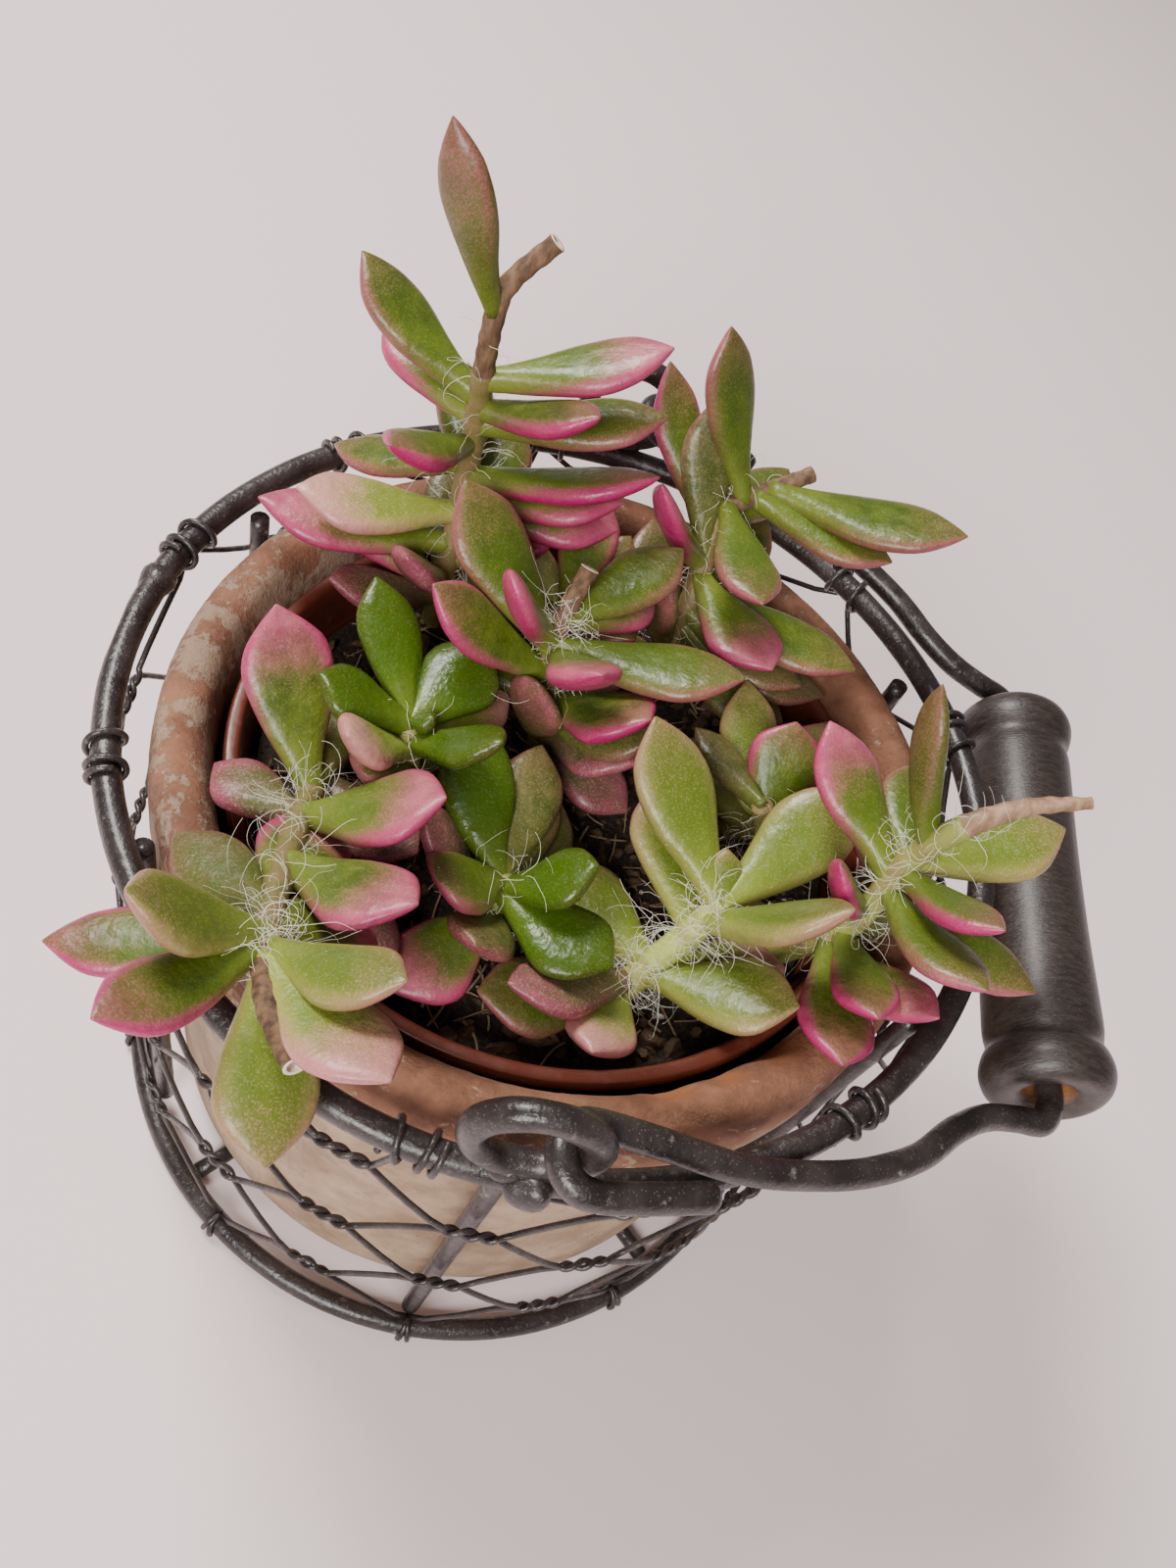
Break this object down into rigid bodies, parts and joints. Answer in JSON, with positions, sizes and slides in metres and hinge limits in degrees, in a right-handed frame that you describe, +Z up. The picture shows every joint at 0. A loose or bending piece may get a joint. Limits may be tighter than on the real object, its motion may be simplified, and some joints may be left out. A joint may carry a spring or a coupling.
{
  "type": "potted crassula",
  "caption": "Leafy trailing succulent with fleshy pink-edged leaves in a plastic pot inside a clay pot, carried in a round wire basket with a swinging bail handle and turned grip.",
  "frame": {"origin": "on the floor under the middle of the basket, at the underside of the crossing of the base bars", "axes": "+Z up; the handle's hinge line is parallel to Y through the two eyes; the folded handle lies towards +X"},
  "size_m": [0.1659, 0.1537, 0.1759],
  "materials": {
    "iron": "satin dark brown-black lacquer",
    "net": "satin dark brown-black lacquer",
    "grip": "dark painted turned wood",
    "clay": "matte weathered terracotta",
    "nursery": "glossy thin brown-red plastic",
    "soil": "damp fibrous potting soil",
    "leaf": "glossy fleshy leaf with pink margins",
    "young_leaf": "glossy bright green fleshy leaf"
  },
  "bodies": {
    "basket": {"rim_ring": "iron", "foot_ring": "iron", "post_1": "iron", "post_2": "iron", "post_3": "iron", "post_4": "iron", "post_5": "iron", "post_6": "iron", "base_cross": "iron", "netting": "net", "eye_front": "iron", "eye_back": "iron", "clay_pot": "clay", "nursery_pot": "nursery", "soil": "soil", "back_left_stem": "leaf", "back_right_stem": "leaf", "middle_stem": "leaf", "left_rosette_stem": "young_leaf", "front_left_stem": "leaf", "front_rosette_stem": "young_leaf", "front_right_stem": "leaf", "right_low_stem": "leaf", "right_stem": "leaf", "centre_back_stem": "leaf"},
    "handle": {"bail_wire": "iron"},
    "grip": {"grip": "grip"}
  },
  "joints": [
    {"name": "bail_swing", "type": "hinge", "parent": "basket", "child": "handle", "pos_m": [0, 0, 0.11355], "axis": [0, -1, 0], "range_deg": [0, 155]},
    {"name": "grip_spin", "type": "hinge", "parent": "handle", "child": "grip", "pos_m": [0.08374, 0, 0.09189], "axis": [0, 1, 0], "continuous": true}
  ]
}
